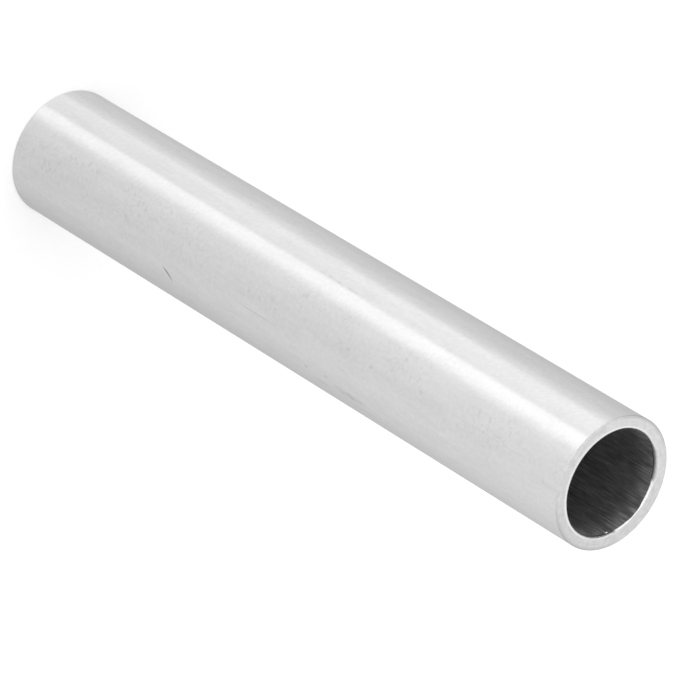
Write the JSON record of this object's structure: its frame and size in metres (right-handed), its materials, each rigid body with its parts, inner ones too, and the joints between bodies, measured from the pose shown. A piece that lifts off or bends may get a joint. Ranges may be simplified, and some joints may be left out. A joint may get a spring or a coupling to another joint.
{
  "type": "aluminium tube",
  "caption": "Straight round aluminium tube with a thin wall and an open bore, cut square and deburred, used as framing, sleeve or spacer stock.",
  "frame": {"origin": "centre of the lower cut end, on the tube's axis", "axes": "+Z along the tube, from the lower cut end to the upper one; X and Y are any two directions across it"},
  "size_m": [0.016, 0.016, 0.1],
  "materials": {
    "aluminium": "mill finish, as extruded, with saw-cut and deburred ends"
  },
  "bodies": {
    "root": {"tube": "aluminium"}
  },
  "joints": []
}
